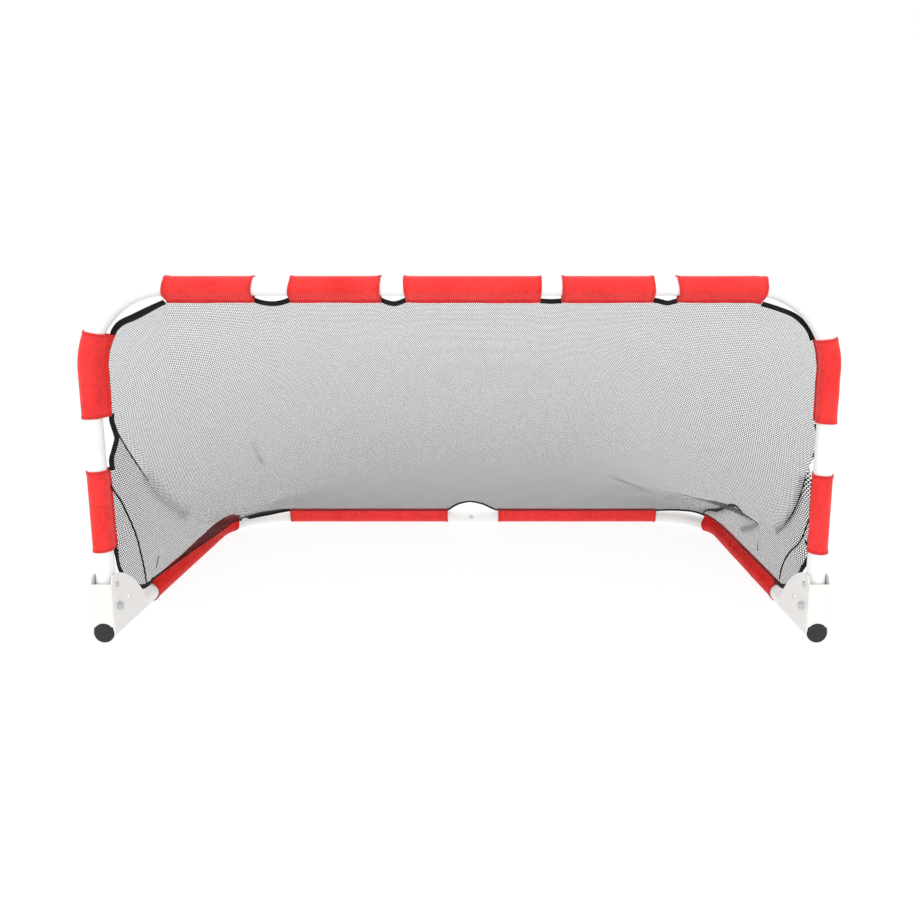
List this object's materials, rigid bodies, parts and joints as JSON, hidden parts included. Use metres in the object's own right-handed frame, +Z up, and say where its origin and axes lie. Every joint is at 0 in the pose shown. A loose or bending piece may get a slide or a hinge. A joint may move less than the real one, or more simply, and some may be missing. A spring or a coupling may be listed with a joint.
{
  "type": "folding hockey goal",
  "caption": "Low tubular goal with a hinged front frame that folds flat onto a ground frame, fabric tube sleeves and a fine mesh net behind the mouth.",
  "frame": {"origin": "on the ground, under the middle of the whole goal", "axes": "+X to the right across the goal as seen from in front of the mouth, +Y from the mouth towards the rear bar, +Z up"},
  "size_m": [1.2472, 0.682, 0.61],
  "materials": {
    "tube_paint": "white powder coat, satin",
    "bracket_paint": "white powder coat on bent sheet steel",
    "sleeve_fabric": "red coated polyester, plain weave, stitched hems",
    "net_mesh": "fine black knotless hexagonal mesh",
    "binding_tape": "black woven binding tape",
    "cap_plastic": "black moulded plastic",
    "spacer_plastic": "black nylon",
    "fastener_zinc": "zinc plated",
    "clip_steel": "plated spring steel"
  },
  "bodies": {
    "ground_frame": {"ground_left_tube": "tube_paint", "ground_right_tube": "tube_paint", "left_bracket": "bracket_paint", "right_bracket": "bracket_paint", "left_foot_cap": "cap_plastic", "right_foot_cap": "cap_plastic", "pivot_bolts": "fastener_zinc", "pivot_nuts": "fastener_zinc", "pivot_spacers": "spacer_plastic", "side_sleeve_left": "sleeve_fabric", "side_sleeve_right": "sleeve_fabric", "rear_sleeve_left": "sleeve_fabric", "rear_sleeve_right": "sleeve_fabric", "net_back": "net_mesh", "net_left": "net_mesh", "net_right": "net_mesh", "binding_crossbar": "binding_tape", "binding_rear": "binding_tape", "binding_left": "binding_tape", "binding_right": "binding_tape"},
    "front_frame": {"front_left_tube": "tube_paint", "front_right_tube": "tube_paint", "bar_sleeve_outer_left": "sleeve_fabric", "bar_sleeve_inner_left": "sleeve_fabric", "bar_sleeve_centre": "sleeve_fabric", "bar_sleeve_inner_right": "sleeve_fabric", "bar_sleeve_outer_right": "sleeve_fabric", "post_sleeve_upper_left": "sleeve_fabric", "post_sleeve_lower_left": "sleeve_fabric", "post_sleeve_upper_right": "sleeve_fabric", "post_sleeve_lower_right": "sleeve_fabric"},
    "left_lock": {"left_lock_clip": "clip_steel"},
    "right_lock": {"right_lock_clip": "clip_steel"},
    "rear_lock": {"rear_clip": "clip_steel"},
    "crossbar_lock": {"crossbar_clip": "clip_steel"}
  },
  "joints": [
    {"name": "fold", "type": "hinge", "parent": "ground_frame", "child": "front_frame", "pos_m": [0, -0.319, 0.0575], "axis": [-1, 0, 0], "range_deg": [0, 90], "deforming": ["net_back", "net_left", "net_right", "binding_crossbar", "binding_rear", "binding_left", "binding_right"]},
    {"name": "left_lock_press", "type": "slide", "parent": "front_frame", "child": "left_lock", "axis": [-1, 0, 0], "range_m": [0, 0.0055], "stiffness_N_per_m": 900, "springref_m": -0.002, "deforming": ["left_lock_clip"]},
    {"name": "right_lock_press", "type": "slide", "parent": "front_frame", "child": "right_lock", "axis": [1, 0, 0], "range_m": [0, 0.0055], "stiffness_N_per_m": 900, "springref_m": -0.002, "deforming": ["right_lock_clip"]},
    {"name": "rear_button_press", "type": "slide", "parent": "ground_frame", "child": "rear_lock", "axis": [0, 1, 0], "range_m": [0, 0.0045], "stiffness_N_per_m": 900, "springref_m": -0.002, "deforming": ["rear_clip"]},
    {"name": "crossbar_button_press", "type": "slide", "parent": "front_frame", "child": "crossbar_lock", "axis": [0, -1, 0], "range_m": [0, 0.003], "stiffness_N_per_m": 900, "springref_m": -0.002, "deforming": ["crossbar_clip"]}
  ]
}
